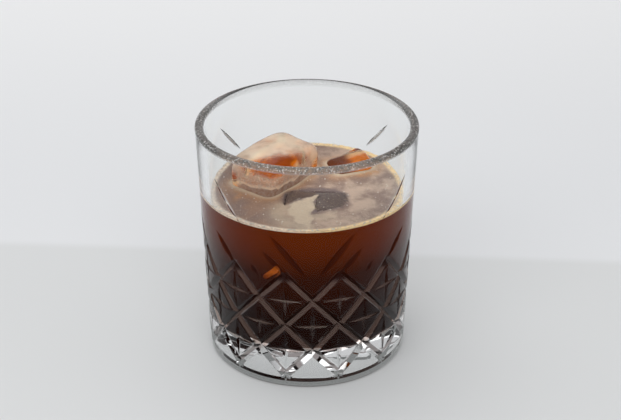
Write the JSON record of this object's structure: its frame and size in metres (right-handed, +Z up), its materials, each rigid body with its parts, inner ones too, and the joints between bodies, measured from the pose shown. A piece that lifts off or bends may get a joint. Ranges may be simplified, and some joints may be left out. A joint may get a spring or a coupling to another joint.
{
  "type": "iced espresso",
  "caption": "Iced espresso with ice and thin foam in a clear cut-glass tumbler with a heavy base.",
  "frame": {"origin": "centre of the tumbler's foot, on the surface that it stands on", "axes": "+Z up along the tumbler's axis; -Y is the side that faces the viewer of the picture; +X is the viewer's right"},
  "size_m": [0.084, 0.084, 0.094],
  "materials": {
    "clear_glass": "polished",
    "coffee": "gloss",
    "foam": "matte",
    "ice": "polished"
  },
  "bodies": {
    "root": {"glass": "clear_glass", "espresso": "coffee", "crema": "foam", "ice_left": "ice", "ice_right": "ice", "ice_front": "ice"}
  },
  "joints": []
}
